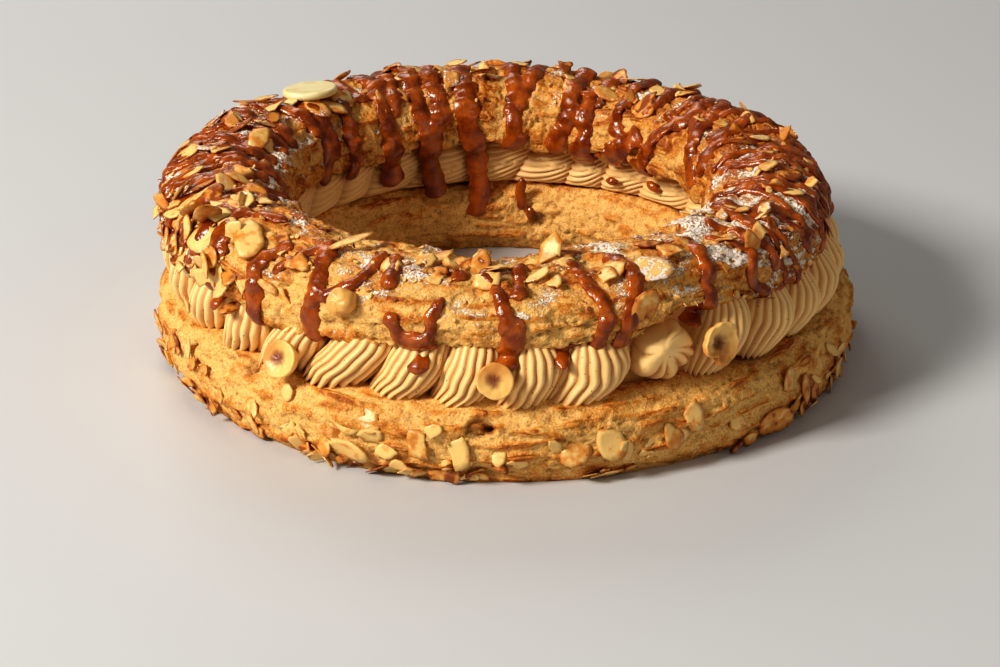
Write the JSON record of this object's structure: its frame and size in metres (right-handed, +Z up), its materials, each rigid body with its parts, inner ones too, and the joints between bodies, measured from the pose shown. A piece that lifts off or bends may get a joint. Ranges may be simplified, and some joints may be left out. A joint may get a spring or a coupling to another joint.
{
  "type": "paris brest pastry",
  "caption": "Ring of split choux pastry filled with piped praline cream, topped with caramel, almond flakes, hazelnut halves and a chocolate disc.",
  "frame": {"origin": "middle of the ring, on the surface that it rests on", "axes": "+Z up, through the hole; the show side faces -Y, with +X to its right"},
  "size_m": [0.2797, 0.2792, 0.0818],
  "materials": {
    "golden_crust": "baked choux crust, matt, golden with browned ridges",
    "browned_crust": "baked choux crust, browned, dusted with icing sugar",
    "praline": "piped praline cream, soft sheen, specked with nut",
    "roasted_hazelnut": "roasted hazelnut, satin, darker in the middle",
    "ivory_chocolate": "white chocolate, smooth satin"
  },
  "bodies": {
    "root": {"choux_base": "golden_crust", "praline_cream": "praline", "choux_lid": "browned_crust", "hazelnut_half_1": "roasted_hazelnut", "hazelnut_half_2": "roasted_hazelnut", "hazelnut_half_3": "roasted_hazelnut", "hazelnut_lid": "roasted_hazelnut", "chocolate_disc": "ivory_chocolate"}
  },
  "joints": []
}
